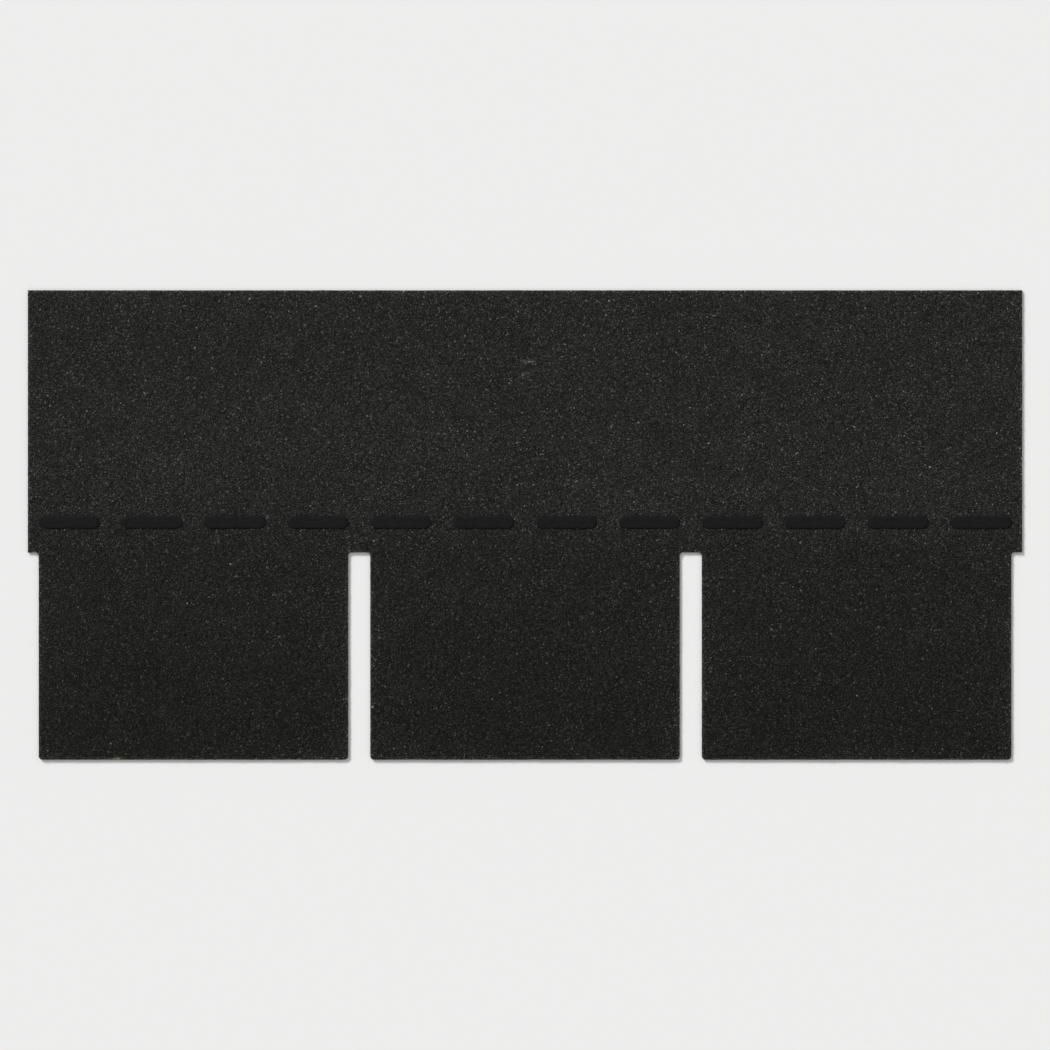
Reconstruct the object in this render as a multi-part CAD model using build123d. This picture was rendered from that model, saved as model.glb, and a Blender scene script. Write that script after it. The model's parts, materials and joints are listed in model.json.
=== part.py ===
"""A three-tab asphalt strip shingle, lying flat with its granule face up.

The strip is one sheet: a glass mat soaked in asphalt and pressed with mineral granules. Slots cut up from
its butt edge leave three tabs, and each end has half a slot, so that two strips laid end to end make a
whole one. Dashes of thermoplastic adhesive lie on the face just above the slots, where the tabs of the
next course press down on them. On the back, behind those dashes, a band of clear release film keeps the
strips of a stack from sticking together.

Frame, in millimetres: the origin is the middle of the strip's footprint, on the surface that it lies on.
+X runs along the strip, +Y from the butt edge of the tabs to the top edge, and +Z out of the granule face.
"""

import os

from build123d import *

# The strip. The exposure is what one course shows of the course's depth, and it is the slots' height too.
TAB_COUNT = 3
TAB_PITCH = 304.8
EXPOSURE = 190.5
HEADLAP = 50.8
SHEET_THICKNESS = 3.2

# The slots and the softened edges that the cutting cylinder leaves in warm asphalt.
SLOT_WIDTH = 20.0
TAB_CORNER_RADIUS = 3.5
SLOT_CORNER_RADIUS = 2.5
ARRIS_RADIUS = 0.8

# The line of adhesive dashes, measured from the top of the slots to the middle of the dashes.
SEAL_OFFSET = 28.0
DASHES_PER_TAB = 4
DASH_SPACING = 19.2
DASH_WIDTH = 12.7
DASH_HEIGHT = 0.8
DASH_FOOT = 0.25

# The band of release film, let into the back so that the strip lies flat.
FILM_WIDTH = 32.0
FILM_THICKNESS = 0.1

# Sizes and places that follow from those above.
STRIP_LENGTH = TAB_COUNT * TAB_PITCH
STRIP_DEPTH = 2 * EXPOSURE + HEADLAP
BUTT_Y = -STRIP_DEPTH / 2
SLOT_TOP_Y = BUTT_Y + EXPOSURE
SEAL_Y = SLOT_TOP_Y + SEAL_OFFSET
DASH_COUNT = TAB_COUNT * DASHES_PER_TAB
DASH_PITCH = TAB_PITCH / DASHES_PER_TAB
DASH_LENGTH = DASH_PITCH - DASH_SPACING

# How near a vertex has to be to a line to count as on it.
TOLERANCE = 0.001


def along_strip(count, pitch):
    """Places along the strip, one pitch apart and centred on its middle."""
    return [(number - (count - 1) / 2) * pitch for number in range(count)]


def strip_outline():
    """The strip seen from above: a rectangle with the slots cut up from the butt edge.

    The first and last slots are centred on the strip's ends, so half of each is cut.
    """
    outline = Rectangle(STRIP_LENGTH, STRIP_DEPTH)
    for x in along_strip(TAB_COUNT + 1, TAB_PITCH):
        outline -= Pos(x, BUTT_Y + EXPOSURE / 2) * Rectangle(SLOT_WIDTH, EXPOSURE)

    def on_line(vertex, y):
        return abs(vertex.Y - y) < TOLERANCE

    tab_corners = [vertex for vertex in outline.vertices() if on_line(vertex, BUTT_Y)]
    outline = fillet(tab_corners, TAB_CORNER_RADIUS)
    slot_corners = [
        vertex
        for vertex in outline.vertices()
        if on_line(vertex, SLOT_TOP_Y) and abs(vertex.X) < STRIP_LENGTH / 2 - TOLERANCE
    ]
    return fillet(slot_corners, SLOT_CORNER_RADIUS)


def film_band():
    """The release film: a thin flat band along the whole strip, flush with the back."""
    return Pos(0, SEAL_Y, FILM_THICKNESS / 2) * Box(STRIP_LENGTH, FILM_WIDTH, FILM_THICKNESS)


def shingle_body():
    """The sheet itself, its upper edges rounded all the way round, with the bed of the film in its back."""
    sheet = extrude(strip_outline(), SHEET_THICKNESS)
    face = sheet.faces().sort_by(Axis.Z)[-1]
    sheet = fillet(face.edges(), ARRIS_RADIUS)
    return sheet - film_band()


def seal_dash(x):
    """One dash of adhesive on the face: a flat bead with round ends and a rounded shoulder."""
    footprint = Pos(x, SEAL_Y, SHEET_THICKNESS) * SlotOverall(DASH_LENGTH, DASH_WIDTH)
    bead = extrude(footprint, DASH_HEIGHT)
    top = bead.faces().sort_by(Axis.Z)[-1]
    return fillet(top.edges(), DASH_HEIGHT - DASH_FOOT)


def pieces():
    """Every piece of the shingle by its name."""
    named = {"shingle_body": shingle_body(), "release_film": film_band()}
    for number, x in enumerate(along_strip(DASH_COUNT, DASH_PITCH), start=1):
        named[f"seal_dash_{number:02d}"] = seal_dash(x)
    return named


os.makedirs("parts", exist_ok=True)
for name, shape in pieces().items():
    export_step(shape, f"parts/{name}.step")
    print(f"{name}: {shape.volume:.1f} mm3")
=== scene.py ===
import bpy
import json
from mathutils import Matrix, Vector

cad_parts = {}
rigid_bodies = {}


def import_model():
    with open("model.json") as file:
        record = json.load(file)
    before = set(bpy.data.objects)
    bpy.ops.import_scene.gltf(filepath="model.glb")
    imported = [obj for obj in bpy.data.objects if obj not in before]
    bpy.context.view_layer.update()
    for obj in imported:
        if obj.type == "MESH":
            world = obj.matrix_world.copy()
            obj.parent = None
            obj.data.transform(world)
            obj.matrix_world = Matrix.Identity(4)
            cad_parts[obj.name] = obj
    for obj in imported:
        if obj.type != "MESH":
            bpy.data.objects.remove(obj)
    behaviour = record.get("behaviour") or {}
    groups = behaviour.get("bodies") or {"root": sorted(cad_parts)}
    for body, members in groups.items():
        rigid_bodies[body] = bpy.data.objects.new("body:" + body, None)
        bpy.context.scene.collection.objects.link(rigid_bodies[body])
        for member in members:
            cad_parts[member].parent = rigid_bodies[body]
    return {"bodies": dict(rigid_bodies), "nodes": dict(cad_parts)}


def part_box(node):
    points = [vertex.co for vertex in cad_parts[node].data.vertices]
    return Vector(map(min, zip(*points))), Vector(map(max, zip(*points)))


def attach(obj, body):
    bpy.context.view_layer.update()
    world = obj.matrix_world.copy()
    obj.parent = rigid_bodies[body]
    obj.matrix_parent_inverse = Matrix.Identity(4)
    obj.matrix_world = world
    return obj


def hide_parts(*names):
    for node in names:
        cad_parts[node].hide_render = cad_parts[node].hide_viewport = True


bl_info = {
    "name": "Three-Tab Asphalt Shingle",
    "version": (1, 0, 0),
    "blender": (4, 5, 0),
    "location": "3D View > Sidebar > Shingle",
    "description": "Dresses a strip shingle: granules, cut edges, adhesive dashes, release film and stage",
    "category": "Object",
}

import json
from functools import partial
from typing import NamedTuple

import bmesh
import bpy
import numpy as np
from bpy.props import FloatProperty, FloatVectorProperty, IntProperty, PointerProperty

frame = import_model()

SHEET_NODE = "shingle_body"
FILM_NODE = "release_film"
DASH_NODES = sorted(name for name in frame["nodes"] if name.startswith("seal_dash_"))
BODY = next(iter(frame["bodies"]))
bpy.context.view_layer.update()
SHEET_LOW, SHEET_HIGH = (np.array(corner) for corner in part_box(SHEET_NODE))
FILM_LOW, FILM_HIGH = (np.array(corner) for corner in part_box(FILM_NODE))

# The play between two pieces that lie face to face, and a length that only keeps a division from zero.
FIT, TINY = 0.00001, 1e-9

# Seeds of the slow noise. Those of the side rows and of the beads are the first of several.
EDGE_SEED, RIPPLE_SEED, PATCH_SEED, SIDE_SEED, BEAD_EDGE_SEED, BEAD_FACE_SEED = 5, 11, 31, 41, 100, 200

# Settings in metres and settings that are shares.
Length = partial(FloatProperty, unit="LENGTH")
Share = partial(FloatProperty, subtype="FACTOR")


class SheetSettings(bpy.types.PropertyGroup):
    """Sizes of the sheet that its bounding box doesn't give."""

    tabs: IntProperty(name="Tabs", description="Number of tabs along the strip", default=3, min=1)
    headlap: Length(name="Headlap", description="Depth of the strip beyond two exposures", default=0.0508)
    slot_width: Length(name="Slot width", description="Width of the slot between two tabs", default=0.020)
    tab_corner: Length(
        name="Tab corner", description="Radius of a tab's corners at the butt edge", default=0.0035
    )
    slot_corner: Length(
        name="Slot corner", description="Radius of the corners at the top of a slot", default=0.0025
    )
    arris: Length(
        name="Arris", description="How far in the face begins to round over to its edge", default=0.0016
    )
    grid_pitch: Length(
        name="Grid pitch", description="Spacing of the sheet's mesh away from its edges", default=0.0042
    )
    granule_rise: Length(
        name="Granule rise", description="How far the highest granules stand out of the asphalt",
        default=0.0005
    )
    ripple: Length(
        name="Ripple", description="Height of the slow waves in the sheet's thickness", default=0.00012
    )
    edge_wander: Length(name="Edge wander", description="How far the cut edge strays inwards", default=0.0003)
    edge_bite: Length(name="Edge bite", description="Depth of the hollows in the cut side", default=0.00018)


class GranuleSettings(bpy.types.PropertyGroup):
    """Size, packing and colour of the mineral granules."""

    spacing: Length(
        name="Spacing", description="Mean distance between neighbouring granules", default=0.00182
    )
    width: Length(name="Width", description="Typical width of a blocky granule", default=0.00215)
    wedge_share: Share(name="Wedges", description="Share of the granules that are small wedges", default=0.5)
    wedge_width: Length(
        name="Wedge width", description="Typical width of a wedge-shaped granule", default=0.0020
    )
    width_spread: Share(
        name="Width spread", description="Spread of the widths, as a share of the typical one", default=0.2
    )
    jitter: Share(
        name="Jitter", description="How far a granule strays from an even grid, in spacings", default=0.42
    )
    tab_albedo: FloatProperty(
        name="Tab lightness", description="Share of light that the middle of a tab sends back",
        default=0.021, precision=4
    )
    headlap_albedo: FloatProperty(
        name="Headlap lightness", description="The same for the part above the slots",
        default=0.032, precision=4
    )
    spread: FloatProperty(
        name="Spread", description="Spread of the granules' lightness, in natural logarithms", default=0.42
    )
    light_share: Share(name="Light granules", description="Share of granules of a lighter grey", default=0.2)
    light_step: FloatProperty(
        name="Light step", description="How much lighter those are, in natural logarithms", default=0.6
    )
    pale_share: Share(
        name="Pale granules", description="Share of granules that are pale stone", default=0.006
    )
    rust_share: Share(name="Rust granules", description="Share of granules that are reddish", default=0.0004)
    seed: IntProperty(name="Seed", description="Start of the random numbers", default=7)


class WearAndPaintedLightSettings(bpy.types.PropertyGroup):
    """How much lighter the granules are in some places, in natural logarithms, painted shade and sheen among
    them.
    """

    # Painted shade: a tab is painted darker towards its foot and lighter towards its top, as if light fell
    # aslant on it.
    painted_shade_fall: FloatProperty(
        name="Fall", description="How much darker a tab's foot is than its middle", default=0.17
    )
    foot: FloatProperty(name="Foot", description="Lift at the very foot of a tab", default=0.06)
    edge: FloatProperty(name="Edge", description="Lift right at the outline", default=0.78)
    margin: FloatProperty(name="Margin", description="Lift over a wider margin", default=0.06)
    # Painted sheen: the granules beside the slots are painted paler, as where a tab's sides catch the light.
    slot: FloatProperty(name="Slot", description="Lift beside the slots", default=0.24)
    butt: FloatProperty(name="Butt", description="Lift above the butt edge", default=0.16)
    scuff: FloatProperty(name="Scuff", description="Lift of the pale scuffs", default=2.4)
    nick: FloatProperty(name="Nick", description="Lift of the tan nick", default=2.8)


class SealSettings(bpy.types.PropertyGroup):
    """Looks of the adhesive dashes."""

    colour: FloatVectorProperty(
        name="Adhesive colour", description="Colour of the adhesive",
        default=(0.0048, 0.0048, 0.0052), subtype="COLOR"
    )
    sink: Length(name="Sink", description="How deep a dash reaches among the granules", default=0.0003)
    raggedness: Share(
        name="Raggedness", description="How far a dash's outline strays inwards, in half widths", default=0.12
    )


class StageSettings(bpy.types.PropertyGroup):
    """Floor, light and camera."""

    floor_colour: FloatVectorProperty(
        name="Floor colour", description="Colour of the floor", default=(0.87, 0.87, 0.865), subtype="COLOR"
    )
    sky: FloatProperty(name="Sky", description="Strength of the even light from all round", default=0.5)
    key: FloatProperty(name="Key", description="Strength of the lamp at the upper left", default=2.83)
    key_softness: FloatProperty(
        name="Key softness", description="Width of the lamp as the strip sees it",
        default=0.3, subtype="ANGLE"
    )
    key_turn: FloatVectorProperty(
        name="Key turn", description="How the lamp is turned from straight down",
        default=(np.radians(-41.5), np.radians(-45), 0), subtype="EULER"
    )
    view_width: Length(
        name="View width", description="Width that the camera takes in at the strip", default=0.965
    )
    camera_height: Length(
        name="Camera height", description="Height of the camera above the strip's back", default=4.0
    )


class Plan(NamedTuple):
    """Driving sizes of the outline, along the strip from slot to slot and up it from its butt edge."""

    pitch: float
    slots: np.ndarray
    butt: float
    exposure: float
    slot_top: float


def sheet_plan():
    """The plan that follows from the frame's box, which is two exposures and the headlap deep."""
    sheet = bpy.context.scene.shingle_sheet
    length, depth = (SHEET_HIGH - SHEET_LOW)[:2]
    pitch = length / sheet.tabs
    slots = SHEET_LOW[0] + pitch * np.arange(sheet.tabs + 1)
    butt = SHEET_LOW[1]
    exposure = (depth - sheet.headlap) / 2
    return Plan(pitch, slots, butt, exposure, butt + exposure)


def nearest_slot(x):
    """Where the middle of the nearest slot lies along the strip, with the half slots at its ends counted."""
    plan = sheet_plan()
    return plan.slots[0] + plan.pitch * np.round((x - plan.slots[0]) / plan.pitch)


def edge_distance(x, y):
    """How far inside the strip's outline each point lies.

    A slot is a rectangle with two rounded corners, so outside it the distance is that to the rectangle
    shrunk by the corner's radius, less the radius. Near a tab's corner the distance to the slot and that to
    the butt edge are joined by a quarter circle: the radius less the distance from the circle's middle.
    """
    sheet = bpy.context.scene.shingle_sheet
    plan = sheet_plan()
    across = np.abs(x - nearest_slot(x)) - sheet.slot_width / 2 + sheet.slot_corner
    above = y - plan.slot_top + sheet.slot_corner
    beyond = np.hypot(np.maximum(across, 0), np.maximum(above, 0))
    from_slot = beyond + np.minimum(np.maximum(across, above), 0) - sheet.slot_corner
    from_butt = y - plan.butt
    radius = sheet.tab_corner
    rounded = radius - np.hypot(radius - from_slot, radius - from_butt)
    in_corner = (from_slot < radius) & (from_butt < radius)
    lower = np.where(in_corner, rounded, np.minimum(from_slot, from_butt))
    ends = np.minimum(SHEET_HIGH[0] - x, x - SHEET_LOW[0])
    return np.minimum(np.minimum(lower, ends), SHEET_HIGH[1] - y)


# The shortest and the longest wave of slow noise, as shares of its wavelength.
SHORTEST, LONGEST = 0.6, 1.8


def slow_noise(x, y, wavelength, seed, waves=15):
    """A smooth random surface, mostly between -1 and 1: plane waves, summed, over the root of their number.

    Each wave is the sine of the place along its own random direction over a length near the wavelength, plus
    a random phase.
    """
    rng = np.random.default_rng(seed)
    total = np.zeros(np.shape(x))
    for _ in range(waves):
        angle, phase = rng.uniform(0, 2 * np.pi, 2)
        length = wavelength * rng.uniform(SHORTEST, LONGEST)
        total += np.sin(2 * np.pi * (x * np.cos(angle) + y * np.sin(angle)) / length + phase)
    return total / np.sqrt(waves)


def slow_share(x, y, wavelength, seed, contrast):
    """A smooth random share between 0 and 1: a half and the contrast times slow noise, clipped."""
    return np.clip(0.5 + contrast * slow_noise(x, y, wavelength, seed), 0, 1)


# How far the face falls at the outline, as a share of the arris, and the length of the face's slow waves.
ARRIS_FALL, RIPPLE_LENGTH = 0.45, 0.045


def asphalt_height(x, y):
    """Height of the asphalt that holds the granules.

    It is the face's height less the granules' rise, with slow waves in it, and near an edge it falls by an
    ellipse's arc: a share of the arris times one less the root of one less the square of the way out.
    """
    sheet = bpy.context.scene.shingle_sheet
    base = SHEET_HIGH[2] - sheet.granule_rise
    waves = sheet.ripple * (slow_noise(x, y, RIPPLE_LENGTH, RIPPLE_SEED) - 1) / 2
    out = np.clip(1 - edge_distance(x, y) / sheet.arris, 0, 1)
    drop = ARRIS_FALL * sheet.arris * (1 - np.sqrt(np.clip(1 - out**2, 0, 1)))
    return base + waves - drop


def mark(x, y, middle, reach, slope=0.0):
    """A soft streak: 1 at its middle, falling as the bell curve of the distance along it and across it.

    The distance across is the rise above the middle less the slope times the way along.
    """
    along, across = x - middle[0], y - middle[1]
    return np.exp(-((along / reach[0]) ** 2) - ((across - slope * along) / reach[1]) ** 2)


# How far the lift goes inwards at the outline and over the margin, how far the painted sheen goes away from a
# slot, and how far the lift goes up from the butt.
EDGE_REACH, MARGIN_REACH, SLOT_REACH, BUTT_REACH = 0.0019, 0.009, 0.013, 0.004
# The share of a tab, from its top, over which the painted sheen beside its slots comes in, and that of its
# foot.
SLOT_SHEEN_START, FOOT_SHARE = 0.4, 1 / 8
# Height over which a tab's lightness turns into that of the part above the slots.
HEADLAP_FADE = 0.03
# Slow clouds in the lightness: the strength, wavelength and seed of each.
CLOUDS = ((0.05, 0.03, 23), (0.04, 0.11, 29))
# The scuffs: the strength of each, its middle along the strip and above the slots, and its reach along and
# across itself. They climb by the slope.
SCUFFS = ((1.0, (0.002, 0.175), (0.0055, 0.0013)), (0.5, (0.0, 0.164), (0.0045, 0.0011)))
SCUFF_SLOPE = 0.06
# The nick's middle, in pitches from the strip's left end and metres above the butt edge, and its reach.
NICK_PLACE, NICK_REACH = (0.27, 0.0008), (0.0041, 0.0016)
# The tint at a tab's foot, the change at its top, which is the bluer top of the painted shade down a tab, the
# changes above the slots, at the butt edge and in the nick, how far up the butt's goes, and the highest tint
# of all but rust.
FOOT_TINT, PAINTED_SHADE_TOP_TINT, HEADLAP_TINT, BUTT_TINT, NICK_TINT = 0.25, 0.25, 0.12, -0.07, -0.3
BUTT_TINT_REACH, BLUEST = 0.0025, 0.85


def weathering_and_painted_light(x, y):
    """Natural logarithm of the lightness and the tint, from 0 for tan to 1 for bluish, at each place.

    Down a tab the lightness falls in a straight line, a painted shade of light that falls aslant on the tab,
    with a little lift at its foot, and above the slots it turns into the headlap's by a smooth step. At the
    outline the granules are rubbed paler, by a bell curve of the distance inwards, and over a wider band
    along it and above the butt edge they are a little paler, by a power of e; beside the slots a painted
    sheen makes them paler in the same way. Slow clouds, the scuffs and the nick come on top.
    """
    granules = bpy.context.scene.shingle_granules
    wear_and_painted_light = bpy.context.scene.shingle_wear
    half_slot = bpy.context.scene.shingle_sheet.slot_width / 2
    plan = sheet_plan()
    down = np.clip((plan.slot_top - y) / plan.exposure, 0, 1)
    foot = np.clip(1 - (1 - down) / FOOT_SHARE, 0, 1)
    # Painted shade: lighter at a tab's top and darker at its foot, in a straight line.
    tab = np.log(granules.tab_albedo) + wear_and_painted_light.painted_shade_fall * (1 - 2 * down) + wear_and_painted_light.foot * foot
    covered = np.clip((y - plan.slot_top) / HEADLAP_FADE, 0, 1)
    covered = covered**2 * (3 - 2 * covered)
    headlap = np.log(granules.headlap_albedo)
    inside = np.maximum(edge_distance(x, y), 0)
    from_slot = np.maximum(np.abs(x - nearest_slot(x)) - half_slot, 0)
    from_butt = np.maximum(y - plan.butt, 0)
    worn_and_sheen = wear_and_painted_light.edge * np.exp(-((inside / EDGE_REACH) ** 2)) + wear_and_painted_light.margin * np.exp(-inside / MARGIN_REACH)
    # Painted sheen beside the slots, coming in down the tab.
    worn_and_sheen += wear_and_painted_light.slot * np.exp(-from_slot / SLOT_REACH) * np.clip(down / SLOT_SHEEN_START, 0, 1)
    worn_and_sheen += wear_and_painted_light.butt * np.exp(-from_butt / BUTT_REACH)
    cloud = sum(strength * slow_noise(x, y, wavelength, seed) for strength, wavelength, seed in CLOUDS)
    scuff = sum(
        strength * mark(x, y, (middle[0], plan.slot_top + middle[1]), reach, SCUFF_SLOPE)
        for strength, middle, reach in SCUFFS
    )
    nick_middle = (plan.slots[0] + NICK_PLACE[0] * plan.pitch, plan.butt + NICK_PLACE[1])
    nick = mark(x, y, nick_middle, NICK_REACH)
    lightness = tab * (1 - covered) + headlap * covered + worn_and_sheen + cloud + wear_and_painted_light.scuff * scuff + wear_and_painted_light.nick * nick
    # The tint: bluer at a tab's top with the painted shade, bluer above the slots, warmer at the butt and in
    # the nick.
    tint = FOOT_TINT + PAINTED_SHADE_TOP_TINT * (1 - down) + HEADLAP_TINT * covered
    tint += BUTT_TINT * np.exp(-from_butt / BUTT_TINT_REACH) + NICK_TINT * nick
    return lightness, np.clip(tint, 0, BLUEST)


# The map through which a granule's faces find their colour: across it runs lightness, and up it runs tint.
# The export bakes a granule piece through a map of this name. The sheet has both as values of its corners.
COLOUR_MAP = "OFBake"
LIGHTNESS, TINT = "lightness", "tint"
# The share of light that the colours at the map's two ends send back, and what stays free along its sides.
DARKEST, LIGHTEST, MAP_MARGIN = 0.0018, 0.42, 0.01


def map_place(lightness):
    """Where a lightness lies across the colour map: its logarithm, between those of the two ends."""
    low, high = np.log(DARKEST), np.log(LIGHTEST)
    return np.clip((lightness - low) / (high - low), MAP_MARGIN, 1 - MAP_MARGIN)


def new_mesh(name, vertices, faces, finishes=None):
    """A mesh object from whole arrays of corners, of faces that all have as many, and of their finishes."""
    mesh = bpy.data.meshes.new(name)
    count, corners = faces.shape
    mesh.vertices.add(len(vertices))
    mesh.vertices.foreach_set("co", np.ascontiguousarray(vertices, np.float32).ravel())
    mesh.loops.add(count * corners)
    mesh.loops.foreach_set("vertex_index", np.ascontiguousarray(faces, np.int32).ravel())
    mesh.polygons.add(count)
    mesh.polygons.foreach_set("loop_start", np.arange(count, dtype=np.int32) * corners)
    if finishes is not None:
        mesh.polygons.foreach_set("material_index", finishes.astype(np.int32))
    mesh.update(calc_edges=True)
    piece = bpy.data.objects.new(name, mesh)
    bpy.context.scene.collection.objects.link(piece)
    return piece


def add_values(piece, name, values):
    """One number for each vertex, under a name that a material can read."""
    attribute = piece.data.attributes.new(name, "FLOAT", "POINT")
    attribute.data.foreach_set("value", np.ascontiguousarray(values, np.float32))


def dress(piece, slot, *nodes):
    """Puts the piece on the strip's one body and hides the nodes that it stands for; its slot is not used."""
    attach(piece, BODY)
    if nodes:
        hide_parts(*nodes)


class NodeBoard:
    """A material's node tree, with short ways to add and join its nodes. Scales are repeats to the metre."""

    def __init__(self, name):
        self.material = bpy.data.materials.new(name)
        self.material.use_nodes = True
        self.tree = self.material.node_tree
        self.shader = self.tree.nodes["Principled BSDF"]

    def add(self, kind, **values):
        node = self.tree.nodes.new(kind)
        for name, value in values.items():
            setattr(node, name, value)
        return node

    def join(self, source, target):
        self.tree.links.new(source, target)

    def feed(self, target, value):
        """Joins a socket to the target, or sets the target if the value is a plain one."""
        if isinstance(value, bpy.types.NodeSocket):
            self.join(value, target)
        else:
            target.default_value = value

    def place(self):
        return self.add("ShaderNodeTexCoord").outputs["Object"]

    def value(self, attribute):
        return self.add("ShaderNodeAttribute", attribute_name=attribute).outputs["Fac"]

    def part(self, source, name):
        """One part of a colour or of a place."""
        kind = "ShaderNodeSeparateXYZ" if name in "XYZ" else "ShaderNodeSeparateColor"
        node = self.add(kind)
        self.join(source, node.inputs[0])
        return node.outputs[name]

    def math(self, operation, first, second=0.0, clamp=False):
        node = self.add("ShaderNodeMath", operation=operation, use_clamp=clamp)
        self.feed(node.inputs[0], first)
        self.feed(node.inputs[1], second)
        return node.outputs[0]

    def mix(self, share, first, second, blend="MIX"):
        node = self.add("ShaderNodeMix", data_type="RGBA", blend_type=blend)
        self.feed(node.inputs["Factor"], share)
        self.feed(node.inputs["A"], first)
        self.feed(node.inputs["B"], second)
        return node.outputs["Result"]

    def ramp(self, share, *stops):
        node = self.add("ShaderNodeValToRGB")
        self.feed(node.inputs["Fac"], share)
        elements = node.color_ramp.elements
        while len(elements) < len(stops):
            elements.new(0.5)
        for element, (position, colour) in zip(elements, stops):
            element.position = position
            element.color = (*colour, 1)
        return node.outputs["Color"]

    def patches(self, scale, detail, roughness, low, high):
        """Noise stretched so that it is 0 below the low value and 1 above the high one."""
        return self.ramp(self.noise(scale, detail, roughness), (low, (0, 0, 0)), (high, (1, 1, 1)))

    def noise(self, scale, detail=2.0, roughness=0.5, stretch=None):
        node = self.add("ShaderNodeTexNoise")
        node.inputs["Scale"].default_value = scale
        node.inputs["Detail"].default_value = detail
        node.inputs["Roughness"].default_value = roughness
        place = self.place()
        if stretch:
            mapping = self.add("ShaderNodeMapping")
            mapping.inputs["Scale"].default_value = stretch
            self.join(place, mapping.inputs["Vector"])
            place = mapping.outputs["Vector"]
        self.join(place, node.inputs["Vector"])
        return node.outputs["Fac"]

    def cells(self, scale, feature="F1"):
        node = self.add("ShaderNodeTexVoronoi", feature=feature)
        node.inputs["Scale"].default_value = scale
        self.join(self.place(), node.inputs["Vector"])
        return node.outputs

    def bump(self, height, distance, strength):
        node = self.add("ShaderNodeBump")
        node.inputs["Strength"].default_value = strength
        node.inputs["Distance"].default_value = distance
        self.join(height, node.inputs["Height"])
        return node.outputs["Normal"]

    def grey(self, value):
        """A grey whose three parts are one number."""
        node = self.add("ShaderNodeCombineColor")
        for part in node.inputs:
            self.join(value, part)
        return node.outputs["Color"]

    def stone(self, position, tint):
        """Colour at a place on the colour map: an even climb of the logarithm across it, times the tint.

        The tints are all about as light: warm olive, neutral, cool blue and, past the bluest, rust.
        """
        ratio = LIGHTEST / DARKEST
        albedo = self.math("MULTIPLY", self.math("POWER", ratio, position), DARKEST)
        tint_colour = self.ramp(
            tint,
            (0.0, (1.17, 1.01, 0.74)),
            (0.22, (1.012, 1.037, 0.87)),
            (0.45, (0.99, 1.04, 0.892)),
            (0.62, (0.983, 1.02, 0.925)),
            (BLUEST, (0.96, 1.0, 1.06)),
            (BLUEST + 0.05, (1.8, 0.72, 0.5)),
        )
        return self.mix(1.0, self.grey(albedo), tint_colour, "MULTIPLY")

    def finish(self, colour, roughness, normal=None, specular=0.3):
        self.feed(self.shader.inputs["Base Color"], colour)
        self.feed(self.shader.inputs["Roughness"], roughness)
        self.shader.inputs["Specular IOR Level"].default_value = specular
        if normal is not None:
            self.join(normal, self.shader.inputs["Normal"])
        return self.material


def granule_material():
    """Crushed stone with a ceramic coat: each chip has its own lightness and tint, and a fine roughness."""
    board = NodeBoard("charcoal_granules")
    where = board.add("ShaderNodeUVMap", uv_map=COLOUR_MAP).outputs["UV"]
    colour = board.stone(board.part(where, "X"), board.part(where, "Y"))
    normal = board.bump(board.noise(scale=2600), distance=0.00012, strength=0.5)
    return board.finish(colour, roughness=0.6, normal=normal, specular=0.06)


def bed_material():
    """The finer granules between the chips, pressed in asphalt: cells of random lightness in dark gaps.

    A cell's place across the colour map is the face's, a little lower, and up to half the spread either way.
    In a gap a share of the grain's colour is left. The height is that of the grains less that of crumbs.
    """
    grain_scale, crumb_scale, grain_height = 900, 2300, 1.4
    spread, lower = 0.32, 0.05
    gap_slope, left_in_gap = 3.5, 0.25
    board = NodeBoard("granule_bed")
    edges = board.cells(grain_scale, feature="DISTANCE_TO_EDGE")["Distance"]
    chance = board.math("SUBTRACT", board.part(board.cells(grain_scale)["Color"], "Red"), 0.5)
    step = board.math("SUBTRACT", board.math("MULTIPLY", chance, spread), lower)
    position = board.math("ADD", board.value(LIGHTNESS), step, clamp=True)
    stone = board.stone(position, board.value(TINT))
    grain = board.math("MULTIPLY", edges, gap_slope, clamp=True)
    share = board.math("ADD", board.math("MULTIPLY", grain, 1 - left_in_gap), left_in_gap)
    colour = board.mix(share, (0.004, 0.004, 0.004, 1), stone)
    crumbs = board.cells(crumb_scale)["Distance"]
    height = board.math("SUBTRACT", board.math("MULTIPLY", edges, grain_height), crumbs)
    normal = board.bump(height, distance=0.0004, strength=0.7)
    return board.finish(colour, roughness=0.65, normal=normal, specular=0.06)


def cut_edge_material():
    """The cut side of the sheet: black asphalt with grey filler specks and the pale line of its glass mat.

    The line fades from half the sheet's height in a straight line, to nothing at half the mat's thickness.
    """
    board = NodeBoard("cut_asphalt_edge")
    filler = board.ramp(
        board.part(board.cells(scale=4200)["Color"], "Green"),
        (0.0, (0.007, 0.007, 0.007)),
        (0.6, (0.013, 0.0125, 0.0115)),
        (0.9, (0.032, 0.030, 0.026)),
        (1.0, (0.075, 0.07, 0.06)),
    )
    half_mat = 1 / 3500
    middle = float(SHEET_LOW[2] + SHEET_HIGH[2]) / 2
    off_middle = board.math("ABSOLUTE", board.math("SUBTRACT", board.part(board.place(), "Z"), middle))
    near = board.math("SUBTRACT", 1.0, board.math("DIVIDE", off_middle, half_mat), clamp=True)
    fibres = board.math("MULTIPLY", near, board.noise(scale=900, detail=3.0, roughness=0.7))
    colour = board.mix(fibres, filler, (0.11, 0.10, 0.08, 1))
    torn = board.noise(scale=1200, detail=4.0, roughness=0.65)
    return board.finish(colour, roughness=0.6, normal=board.bump(torn, distance=0.0005, strength=0.8))


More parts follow.
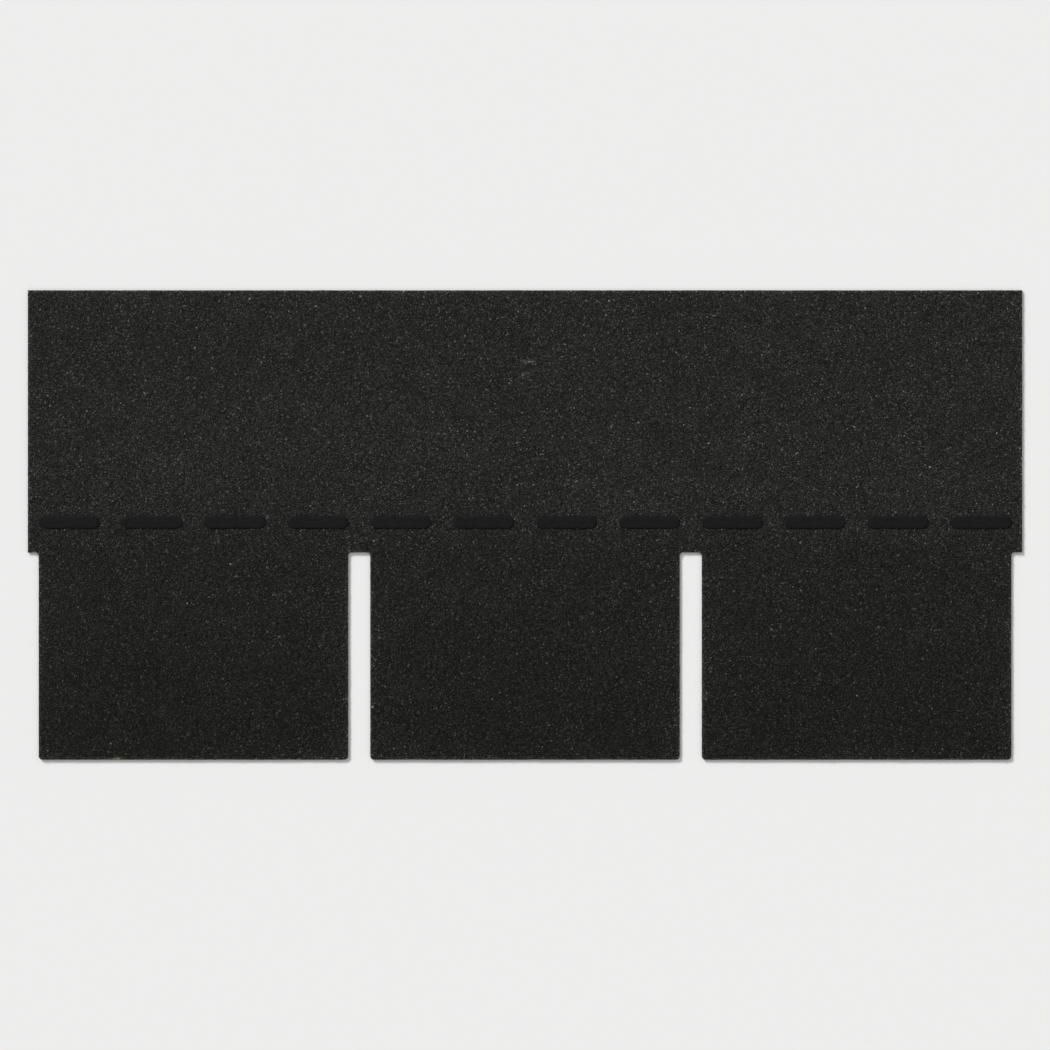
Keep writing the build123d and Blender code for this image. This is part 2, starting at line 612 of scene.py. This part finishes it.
def back_material():
    """The back: asphalt pressed with fine sand and talc, with faint marks of the rollers along the strip."""
    board = NodeBoard("sanded_back")
    grains = board.ramp(
        board.part(board.cells(scale=2100)["Color"], "Blue"),
        (0.0, (0.016, 0.0155, 0.0145)),
        (0.55, (0.036, 0.035, 0.032)),
        (0.9, (0.085, 0.081, 0.072)),
        (1.0, (0.20, 0.19, 0.165)),
    )
    rollers = board.noise(scale=34, stretch=(0.06, 1.0, 1.0))
    dusty = board.mix(rollers, grains, (0.05, 0.049, 0.045, 1))
    bare = board.patches(scale=55, detail=4.0, roughness=0.62, low=0.42, high=0.62)
    colour = board.mix(board.math("MULTIPLY", bare, 0.55), dusty, (0.011, 0.011, 0.011, 1))
    pressed = board.noise(scale=700, detail=4.0, roughness=0.6)
    return board.finish(colour, roughness=0.8, normal=board.bump(pressed, distance=0.0003, strength=0.6))


def seal_material():
    """Thermoplastic adhesive: a dull black, with faint patches of dust and soft waves in its skin."""
    board = NodeBoard("seal_adhesive")
    dust = board.patches(scale=420, detail=4.0, roughness=0.65, low=0.45, high=0.75)
    base = (*bpy.context.scene.shingle_seal.colour, 1)
    colour = board.mix(board.math("MULTIPLY", dust, 0.3), base, (0.014, 0.014, 0.0135, 1))
    skin = board.noise(scale=260, detail=3.0)
    normal = board.bump(skin, distance=0.0006, strength=0.25)
    return board.finish(colour, roughness=0.72, normal=normal, specular=0.14)


def film_material():
    """Clear polyester film pressed on asphalt: nearly black below a gloss, with faint wrinkles across it."""
    board = NodeBoard("release_film")
    wrinkles = board.noise(scale=60, detail=4.0, roughness=0.6, stretch=(3.0, 0.5, 1.0))
    colour = board.ramp(wrinkles, (0.3, (0.030, 0.032, 0.034)), (0.7, (0.055, 0.058, 0.062)))
    normal = board.bump(wrinkles, distance=0.0006, strength=0.4)
    return board.finish(colour, roughness=0.2, normal=normal, specular=0.5)


# How far from a feature the sheet's grid lines beside it lie.
CLOSE_LINES = np.array([0.0, 0.00025, 0.0006, 0.0011, 0.0018, 0.0028])


def grid_lines(low, high, pitch, features):
    """Lines from low to high, one pitch apart or less, with closer ones beside each feature.

    A feature is a place and the sides of it, -1 or 1, on which the lines crowd together.
    """
    fixed = [low, high]
    for place, sides in features:
        for side in sides:
            fixed.extend(place + side * CLOSE_LINES)
    fixed = np.unique(np.round(np.clip(fixed, low, high), 7))
    lines = [fixed[:1]]
    for start, end in zip(fixed[:-1], fixed[1:]):
        parts = max(int(np.ceil((end - start) / pitch)), 1)
        lines.append(np.linspace(start, end, parts + 1)[1:])
    return np.concatenate(lines)


def squares_to_circles(out, up, radius):
    """Distances from a corner circle's middle, changed so that squares round the middle become circles.

    Each point moves along its ray until its straight distance is what its larger distance was. Beyond the
    circle the move fades out in a straight line, over one more radius.
    """
    larger = np.maximum(out, up)
    straight = np.maximum(np.hypot(out, up), TINY)
    share = np.clip(2 - larger / radius, 0, 1) * ((out > 0) & (up > 0))
    factor = 1 + share * (larger / straight - 1)
    return out * factor, up * factor


def rounded_outline(x, y):
    """Grid points moved so that the corners of tabs and slots come out round.

    A tab's corner circle lies in the tab, and the points inside its square are drawn in to it. The circle at
    the top of a slot lies in the slot, and the points beyond its square are drawn towards it.
    """
    sheet = bpy.context.scene.shingle_sheet
    plan = sheet_plan()
    nearest = nearest_slot(x)
    side = np.where(x >= nearest, 1.0, -1.0)
    half_slot = sheet.slot_width / 2
    radius = sheet.tab_corner
    out, up = half_slot + radius - np.abs(x - nearest), plan.butt + radius - y
    out, up = squares_to_circles(out, up, radius)
    x, y = nearest + side * (half_slot + radius - out), plan.butt + radius - up
    radius = sheet.slot_corner
    out, up = np.abs(x - nearest) - half_slot + radius, y - plan.slot_top + radius
    out, up = squares_to_circles(out, up, radius)
    return nearest + side * (half_slot - radius + out), plan.slot_top - radius + up


# How far apart the distance to the outline is read, to find which way it grows.
PROBE = 0.00004


def inward(x, y):
    """Direction in which the distance to the outline grows fastest at each place, as parts along X and Y."""
    slope_x = edge_distance(x + PROBE, y) - edge_distance(x - PROBE, y)
    slope_y = edge_distance(x, y + PROBE) - edge_distance(x, y - PROBE)
    steep = np.maximum(np.hypot(slope_x, slope_y), TINY)
    return slope_x / steep, slope_y / steep


class SHINGLE_OT_sheet(bpy.types.Operator):
    """Makes the sheet itself, with its rounded edges, its cut sides and its back"""

    bl_idname = "shingle.sheet"
    bl_label = "Make Sheet"

    # Rows of points down the cut side, as shares of the way from the face to the back.
    SIDE_ROWS = (0.22, 0.5, 0.78)

    def grid(self):
        """Points of the plan and the numbers of each cell's four corners, without the cells in the slots."""
        sheet = bpy.context.scene.shingle_sheet
        plan = sheet_plan()
        half_slot = sheet.slot_width / 2
        both, low_side, high_side = (-1, 1), (-1,), (1,)
        across = [(place + side * half_slot, both) for place in plan.slots for side in both]
        across += [(SHEET_LOW[0], high_side), (SHEET_HIGH[0], low_side)]
        upwards = [(plan.butt, high_side), (plan.slot_top, both), (SHEET_HIGH[1], low_side)]
        upwards += [(FILM_LOW[1], low_side), (FILM_HIGH[1], high_side)]
        xs = grid_lines(SHEET_LOW[0], SHEET_HIGH[0], sheet.grid_pitch, across)
        ys = grid_lines(plan.butt, SHEET_HIGH[1], sheet.grid_pitch, upwards)
        x, y = (axis.ravel() for axis in np.meshgrid(xs, ys))
        number = np.arange(len(x)).reshape(len(ys), len(xs))
        middle_x = (xs[:-1] + xs[1:]) / 2
        middle_y = (ys[:-1] + ys[1:]) / 2
        in_slot = (np.abs(middle_x[:, None] - plan.slots[None, :]) < half_slot).any(1)
        row, column = np.nonzero(~(in_slot[None, :] & (middle_y < plan.slot_top)[:, None]))
        corners = [number[row + up, column + along] for up, along in ((0, 0), (0, 1), (1, 1), (1, 0))]
        return x, y, np.stack(corners, 1)

    def border(self, cells, count):
        """Starts and ends of the sides that only one cell has, in the direction that the cell goes round."""
        starts, ends = cells.ravel(), np.roll(cells, -1, 1).ravel()
        alone = ~np.isin(starts * count + ends, ends * count + starts)
        return starts[alone], ends[alone]

    def side_rows(self, top, bottom, in_x, in_y):
        """Rows of points down the side, between its top and bottom, with hollows bitten inwards."""
        sheet = bpy.context.scene.shingle_sheet
        rows = []
        for number, share in enumerate(self.SIDE_ROWS):
            row = top + (bottom - top) * share
            bite = slow_share(*row.T[:2], wavelength=0.007, seed=SIDE_SEED + number, contrast=0.4)
            bite *= sheet.edge_bite
            row[:, 0] += bite * in_x
            row[:, 1] += bite * in_y
            rows.append(row)
        return rows

    def ladder(self, points, rim, count):
        """Numbers of the points below each border point: itself, those of the side rows and the back's."""
        rows = 2 * count + len(rim) * np.arange(len(self.SIDE_ROWS))[:, None] + np.searchsorted(rim, points)
        return np.concatenate([points[None], rows, points[None] + count])

    def execute(self, context):
        x, y, face = self.grid()
        count = len(x)
        starts, ends = self.border(face, count)
        rim = np.unique(starts)
        in_film = (y > FILM_LOW[1] - FIT) & (y < FILM_HIGH[1] + FIT)
        x, y = rounded_outline(x, y)
        wander = slow_share(x[rim], y[rim], wavelength=0.012, seed=EDGE_SEED, contrast=0.25)
        wander *= context.scene.shingle_sheet.edge_wander
        in_x, in_y = inward(x[rim], y[rim])
        x[rim] += wander * in_x
        y[rim] += wander * in_y
        top = np.stack([x, y, asphalt_height(x, y)], 1)
        bottom = np.stack([x, y, np.where(in_film, FILM_HIGH[2] + FIT, SHEET_LOW[2])], 1)
        vertices = np.concatenate([top, bottom, *self.side_rows(top[rim], bottom[rim], in_x, in_y)])
        left, right = self.ladder(starts, rim, count), self.ladder(ends, rim, count)
        walls = np.stack([right[:-1], left[:-1], left[1:], right[1:]], -1).reshape(-1, 4)
        faces = np.concatenate([face, face[:, ::-1] + count, walls])
        finishes = np.repeat([0, 2, 1], [len(face), len(face), len(walls)])
        used, faces = np.unique(faces, return_inverse=True)
        vertices = vertices[used]
        piece = new_mesh("granule_sheet", vertices, faces.reshape(-1, 4), finishes)
        lightness, tint = weathering_and_painted_light(vertices[:, 0], vertices[:, 1])
        add_values(piece, LIGHTNESS, map_place(lightness))
        add_values(piece, TINT, tint)
        for material in (bed_material(), cut_edge_material(), back_material()):
            piece.data.materials.append(material)
        dress(piece, "granule_sheet", SHEET_NODE)
        return {"FINISHED"}


class ChipKind(NamedTuple):
    """A kind of granule: where its corners lie from its middle, and its faces as numbers of corners.

    Its height is squashed by the flatness, and its top stands out of the asphalt by between two shares of
    the granules' rise.
    """

    corners: np.ndarray
    faces: np.ndarray
    flatness: float
    rise: tuple


BLOCK = ChipKind(
    corners=np.concatenate([np.eye(3), -np.eye(3)]),
    faces=np.array([[0, 1, 2], [1, 3, 2], [3, 4, 2], [4, 0, 2], [1, 0, 5], [3, 1, 5], [4, 3, 5], [0, 4, 5]]),
    flatness=0.4,
    rise=(0.45, 0.95),
)
WEDGE = ChipKind(
    corners=np.array([[1, 1, 1], [1, -1, -1], [-1, 1, -1], [-1, -1, 1]]) / np.sqrt(3),
    faces=np.array([[0, 1, 2], [0, 2, 3], [0, 3, 1], [1, 3, 2]]),
    flatness=0.5,
    rise=(0.25, 0.75),
)
# A chip's corners lie between these two distances from its middle and stray by this much, in half widths.
LEAST_REACH, MOST_REACH, STRAY = 0.62, 1.18, 0.12


def chip_shapes(kind, widths, rng):
    """Corners of the chips about their middles: solids with uneven corners, turned at random and flattened.

    Each corner lies along its direction at its own random distance, and strays a little. A turn by a random
    unit quaternion follows: twice the cross product of its axis with the sum of its scalar times the corner
    and the cross product of the axis and the corner, added to the corner.
    """
    count, half = len(widths), widths[:, None, None] / 2
    reach = rng.uniform(LEAST_REACH, MOST_REACH, (count, len(kind.corners), 1))
    corners = kind.corners[None] * reach * half
    corners += rng.normal(0, STRAY, corners.shape) * half
    quaternion = rng.normal(size=(4, count))
    quaternion /= np.sqrt((quaternion**2).sum(0))
    scalar, axis = quaternion[0][:, None, None], quaternion[1:].T[:, None]
    corners += 2 * np.cross(axis, scalar * corners + np.cross(axis, corners))
    corners[:, :, 2] *= kind.flatness
    return corners


# The narrowest and the widest granule, as shares of the typical width.
NARROWEST, WIDEST = 0.55, 1.55
# How far inside the outline a granule's middle lies at least, as a share of its width.
LEAST_INSIDE = 0.15
# A granule whose middle lies farther in than this can't reach the outline.
CUT_REACH = 0.0035
# The asphalt that is left below the deepest granules.
LEAST_BACKING = 0.0004
# The share of light that pale and rusty granules send back, the rusty ones' tint and the others' tint spread.
PALE_ALBEDO, RUST_ALBEDO, RUST_TINT, TINT_SPREAD = (0.045, 0.10), 0.03, 0.95, 0.07
# Small patches in the granules' lightness: their strength, wavelength and number of waves.
PATCH_STRENGTH, PATCH_LENGTH, PATCH_WAVES = 0.16, 0.0045, 24
# The triangle on the colour map that a granule's face takes up round its own place.
MAP_SPOT = np.array([[-1, -1], [1, -1], [0, 1]]) * 0.003


class SHINGLE_OT_granules(bpy.types.Operator):
    """Beds the larger granules in the face, one piece for each tab and for each stretch above one"""

    bl_idname = "shingle.granules"
    bl_label = "Bed Granules"

    def sites(self, rng):
        """Places of the granules: a grid of even triangles over the whole box, each place moved at random."""
        granules = bpy.context.scene.shingle_granules
        pitch = granules.spacing
        rows = np.arange(SHEET_LOW[1] + pitch / 2, SHEET_HIGH[1], pitch * np.sqrt(0.75))
        columns = np.arange(SHEET_LOW[0] + pitch / 4, SHEET_HIGH[0], pitch)
        x, y = np.meshgrid(columns, rows)
        x += (np.arange(len(rows)) % 2)[:, None] * pitch / 2
        x += rng.uniform(-1, 1, x.shape) * granules.jitter * pitch
        y += rng.uniform(-1, 1, y.shape) * granules.jitter * pitch
        return x.ravel(), y.ravel()

    def execute(self, context):
        plan = sheet_plan()
        tabs = context.scene.shingle_sheet.tabs
        granules = context.scene.shingle_granules
        rng = np.random.default_rng(granules.seed)
        x, y = self.sites(rng)
        wedge = rng.uniform(size=len(x)) < granules.wedge_share
        typical = np.where(wedge, granules.wedge_width, granules.width)
        widths = typical * np.exp(rng.normal(0, granules.width_spread, len(x)))
        widths = np.clip(widths, NARROWEST * typical, WIDEST * typical)
        kept = edge_distance(x, y) > LEAST_INSIDE * widths
        x, y, widths, wedge = x[kept], y[kept], widths[kept], wedge[kept]
        across, tint = self.colours(x, y, rng)
        material = granule_material()
        tab_of = np.clip(((x - plan.slots[0]) // plan.pitch).astype(int), 0, tabs - 1)
        for tab in range(tabs):
            for part, in_part in (("tab", y < plan.slot_top), ("headlap", y >= plan.slot_top)):
                chips = []
                for kind, of_kind in ((BLOCK, ~wedge), (WEDGE, wedge)):
                    own = in_part & (tab_of == tab) & of_kind
                    corners = chip_shapes(kind, widths[own], rng)
                    corners = self.bedded(kind, x[own], y[own], corners, rng)
                    chips.append((kind, corners, across[own], tint[own]))
                self.piece(f"{part}_granules_{tab + 1}", chips, material)
        return {"FINISHED"}

    def colours(self, x, y, rng):
        """Each granule's place across and up the colour map, from the lightness and tint there, painted shade
        included, and its own chance.
        """
        granules = bpy.context.scene.shingle_granules
        lightness, tint = weathering_and_painted_light(x, y)
        lightness += PATCH_STRENGTH * slow_noise(x, y, PATCH_LENGTH, PATCH_SEED, PATCH_WAVES)
        lightness += rng.normal(0, granules.spread, len(x))
        lightness += granules.light_step * (rng.uniform(size=len(x)) < granules.light_share)
        chance = rng.uniform(size=len(x))
        pale = chance < granules.pale_share
        lightness = np.where(pale, np.log(rng.uniform(*PALE_ALBEDO, len(x))), lightness)
        rust = chance > 1 - granules.rust_share
        lightness = np.where(rust, np.log(RUST_ALBEDO), lightness)
        tint = np.clip(tint + rng.normal(0, TINT_SPREAD, len(x)), 0, BLUEST)
        return map_place(lightness), np.where(rust, RUST_TINT, tint)

    def bedded(self, kind, x, y, corners, rng):
        """Chips set at their places, their tops a random share of the granules' rise above the asphalt."""
        rise = bpy.context.scene.shingle_sheet.granule_rise * rng.uniform(*kind.rise, len(x))
        corners[:, :, 2] += (asphalt_height(x, y) + rise - corners[:, :, 2].max(1))[:, None]
        corners[:, :, 2] = np.clip(corners[:, :, 2], SHEET_LOW[2] + LEAST_BACKING, SHEET_HIGH[2])
        corners[:, :, 0] += x[:, None]
        corners[:, :, 1] += y[:, None]
        near = edge_distance(x, y) < CUT_REACH
        corners[near] = self.cut(corners[near])
        return corners

    def cut(self, corners):
        """Granules cut off at the outline: each corner beyond it moves straight back in, in three steps."""
        for _ in range(3):
            x, y = corners[:, :, 0], corners[:, :, 1]
            in_x, in_y = inward(x, y)
            beyond = np.maximum(-edge_distance(x, y), 0)
            corners = np.stack([x + beyond * in_x, y + beyond * in_y, corners[:, :, 2]], 2)
        return corners

    def piece(self, name, chips, material):
        """One piece of granules, with each one's faces laid on its own small spot of the colour map."""
        vertices, faces, places, first = [], [], [], 0
        for kind, corners, across, tint in chips:
            count, sides = corners.shape[:2]
            vertices.append(corners.reshape(-1, 3))
            numbers = kind.faces[None] + sides * np.arange(count)[:, None, None]
            faces.append(numbers.reshape(-1, 3) + first)
            up = tint * (1 - 2 * MAP_MARGIN) + MAP_MARGIN
            spots = np.stack([across, up], 1)[:, None, None, :] + MAP_SPOT[None, None]
            places.append(np.broadcast_to(spots, (count, len(kind.faces), 3, 2)).reshape(-1, 2))
            first += count * sides
        piece = new_mesh(name, np.concatenate(vertices), np.concatenate(faces))
        layer = piece.data.uv_layers.new(name=COLOUR_MAP)
        layer.uv.foreach_set("vector", np.ascontiguousarray(np.concatenate(places), np.float32).ravel())
        piece.data.materials.append(material)
        dress(piece, "granule_sheet")


# Corners closer than the first of these become one, and an edge shorter than the second is dropped.
MERGED, DROPPED = 2e-6, 1e-7


def close_seams(piece):
    """Merges corners that lie on each other, drops faces that then have no area and turns faces outwards."""
    shape = bmesh.new()
    shape.from_mesh(piece.data)
    bmesh.ops.remove_doubles(shape, verts=shape.verts, dist=MERGED)
    bmesh.ops.dissolve_degenerate(shape, dist=DROPPED, edges=shape.edges)
    bmesh.ops.recalc_face_normals(shape, faces=shape.faces)
    shape.to_mesh(piece.data)
    shape.free()
    piece.data.shade_smooth()


class SHINGLE_OT_seal(bpy.types.Operator):
    """Lays the dashes of adhesive on the granules"""

    bl_idname = "shingle.seal"
    bl_label = "Lay Adhesive"

    # Points round a bead, rings of them from its middle line to its outline, and the power that spaces these.
    AROUND, OUTWARD, SPACING = 112, 11, 0.8
    # The usual and the least height of its face, as shares of the most, and how far waves lift and lower it.
    USUAL_FACE, LEAST_FACE, FACE_WAVE = 0.88, 0.6, 0.09
    # The width of its underside, as a share of its outline's.
    FOOT = 0.98

    def execute(self, context):
        material = seal_material()
        for number, node in enumerate(DASH_NODES):
            piece = self.bead(node.replace("seal_dash", "adhesive_bead"), node, number)
            piece.data.materials.append(material)
            dress(piece, "seal_adhesive", node)
        return {"FINISHED"}

    def bead(self, name, node, number):
        """One bead: a surface of the way round its outline and the way out from its middle line.

        The outline is a straight slot with round ends, drawn in by slow random waves. On the way round it the
        point on the middle line moves while the angle stands, and the angle turns while the point stands.
        From the middle line, where the way out is 0, to the outline, where it is 1, the height falls as one
        less the sixth power of the way out, to the power of 0.4, with small waves from the granules below.
        The bottom repeats the outline, drawn together to the middle line.
        """
        seal = bpy.context.scene.shingle_seal
        low, high = (np.array(corner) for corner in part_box(node))
        middle, size = (low + high) / 2, high - low
        radius, straight = size[1] / 2, (size[0] - size[1]) / 2
        quarter = np.pi * radius / 2
        knots = np.cumsum([0, quarter, 2 * straight, 2 * quarter, 2 * straight, quarter])
        way = np.linspace(0, knots[-1], self.AROUND, endpoint=False)
        spine = np.interp(way, knots, [straight, straight, -straight, -straight, straight, straight])
        angle = np.interp(way, knots, np.pi * np.array([0, 0.5, 0.5, 1.5, 1.5, 2]))
        cosine, sine = np.cos(angle), np.sin(angle)
        seed = BEAD_EDGE_SEED + number
        edge = slow_share(spine + radius * cosine, radius * sine, wavelength=0.009, seed=seed, contrast=0.3)
        drawn = 1 - seal.raggedness * edge
        out = np.linspace(0, 1, self.OUTWARD)[:, None] ** self.SPACING
        x = spine + out * drawn * radius * cosine
        y = out * drawn * radius * sine
        waves = self.FACE_WAVE * slow_noise(x, y, wavelength=0.0045, seed=BEAD_FACE_SEED + number)
        face = np.clip(self.USUAL_FACE + waves, self.LEAST_FACE, 1)
        rise = (size[2] + seal.sink) * (1 - out**6) ** 0.4 * face
        x = np.concatenate([x, x[-1:] * self.FOOT, spine[None]]) + middle[0]
        y = np.concatenate([y, y[-1:] * self.FOOT, np.zeros((1, self.AROUND))]) + middle[1]
        z = np.concatenate([rise, np.zeros((2, self.AROUND))]) + low[2] - seal.sink
        here = np.arange(x.size).reshape(x.shape)
        after = np.roll(here, -1, 1)
        faces = np.stack([here[:-1], here[1:], after[1:], after[:-1]], -1)
        piece = new_mesh(name, np.stack([x, y, z], -1).reshape(-1, 3), faces.reshape(-1, 4))
        close_seams(piece)
        return piece


class SHINGLE_OT_film(bpy.types.Operator):
    """Gives the release film on the back its finish"""

    bl_idname = "shingle.film"
    bl_label = "Finish Film"

    def execute(self, context):
        film = frame["nodes"][FILM_NODE]
        film.data.materials.clear()
        film.data.materials.append(film_material())
        return {"FINISHED"}


class SHINGLE_OT_stage(bpy.types.Operator):
    """Sets up the floor, the light and the camera"""

    bl_idname = "shingle.stage"
    bl_label = "Set Stage"

    # Half the floor's width, and how far below the strip it lies.
    HALF_FLOOR, FLOOR_GAP = 30.0, 0.0002

    def execute(self, context):
        self.floor(context.scene.shingle_stage)
        self.light(context.scene.shingle_stage)
        self.camera(context.scene.shingle_stage)
        context.scene.view_settings.view_transform = "Standard"
        return {"FINISHED"}

    def floor(self, stage):
        """A wide flat floor, just below the strip."""
        half, level = self.HALF_FLOOR, SHEET_LOW[2] - self.FLOOR_GAP
        corners = [[-half, -half, level], [half, -half, level], [half, half, level], [-half, half, level]]
        floor = new_mesh("studio_floor", np.array(corners), np.array([[0, 1, 2, 3]]))
        board = NodeBoard("pale_floor")
        floor.data.materials.append(board.finish((*stage.floor_colour, 1), roughness=0.9, specular=0.1))

    def light(self, stage):
        """Even light from all round, and a soft lamp at the upper left, so that shadows fall down right."""
        world = bpy.data.worlds.new("studio_light")
        world.use_nodes = True
        background = world.node_tree.nodes["Background"]
        background.inputs["Color"].default_value = (1, 1, 1, 1)
        background.inputs["Strength"].default_value = stage.sky
        bpy.context.scene.world = world
        lamp = bpy.data.lights.new("key_light", "SUN")
        lamp.energy = stage.key
        lamp.angle = stage.key_softness
        key = bpy.data.objects.new("key_light", lamp)
        key.rotation_euler = stage.key_turn
        bpy.context.scene.collection.objects.link(key)

    def camera(self, stage):
        """A long lens straight above the strip's middle, with the tabs towards the bottom of the picture."""
        lens = bpy.data.cameras.new("camera_above")
        lens.lens = lens.sensor_width * (stage.camera_height - SHEET_HIGH[2]) / stage.view_width
        camera = bpy.data.objects.new("camera_above", lens)
        camera.location = (0, 0, stage.camera_height)
        bpy.context.scene.collection.objects.link(camera)
        bpy.context.scene.camera = camera


OPERATORS = (SHINGLE_OT_sheet, SHINGLE_OT_granules, SHINGLE_OT_seal, SHINGLE_OT_film, SHINGLE_OT_stage)
SETTINGS = {
    "shingle_sheet": SheetSettings,
    "shingle_granules": GranuleSettings,
    "shingle_wear": WearAndPaintedLightSettings,
    "shingle_seal": SealSettings,
    "shingle_stage": StageSettings,
}


class SHINGLE_PT_builder(bpy.types.Panel):
    """Lists the steps that make the shingle"""

    bl_label = "Shingle"
    bl_space_type = "VIEW_3D"
    bl_region_type = "UI"
    bl_category = "Shingle"

    def draw(self, context):
        for operator in OPERATORS:
            self.layout.operator(operator.bl_idname)
        for name, group in SETTINGS.items():
            box = self.layout.box()
            for setting in group.__annotations__:
                box.prop(getattr(context.scene, name), setting)


def register():
    for name, group in SETTINGS.items():
        bpy.utils.register_class(group)
        setattr(bpy.types.Scene, name, PointerProperty(type=group))
    for operator in OPERATORS:
        bpy.utils.register_class(operator)
    bpy.utils.register_class(SHINGLE_PT_builder)


def unregister():
    bpy.utils.unregister_class(SHINGLE_PT_builder)
    for operator in reversed(OPERATORS):
        bpy.utils.unregister_class(operator)
    for name, group in SETTINGS.items():
        delattr(bpy.types.Scene, name)
        bpy.utils.unregister_class(group)


def main():
    register()
    bpy.ops.shingle.sheet()
    bpy.ops.shingle.granules()
    bpy.ops.shingle.seal()
    bpy.ops.shingle.film()
    bpy.ops.shingle.stage()


if __name__ == "__main__":
    main()
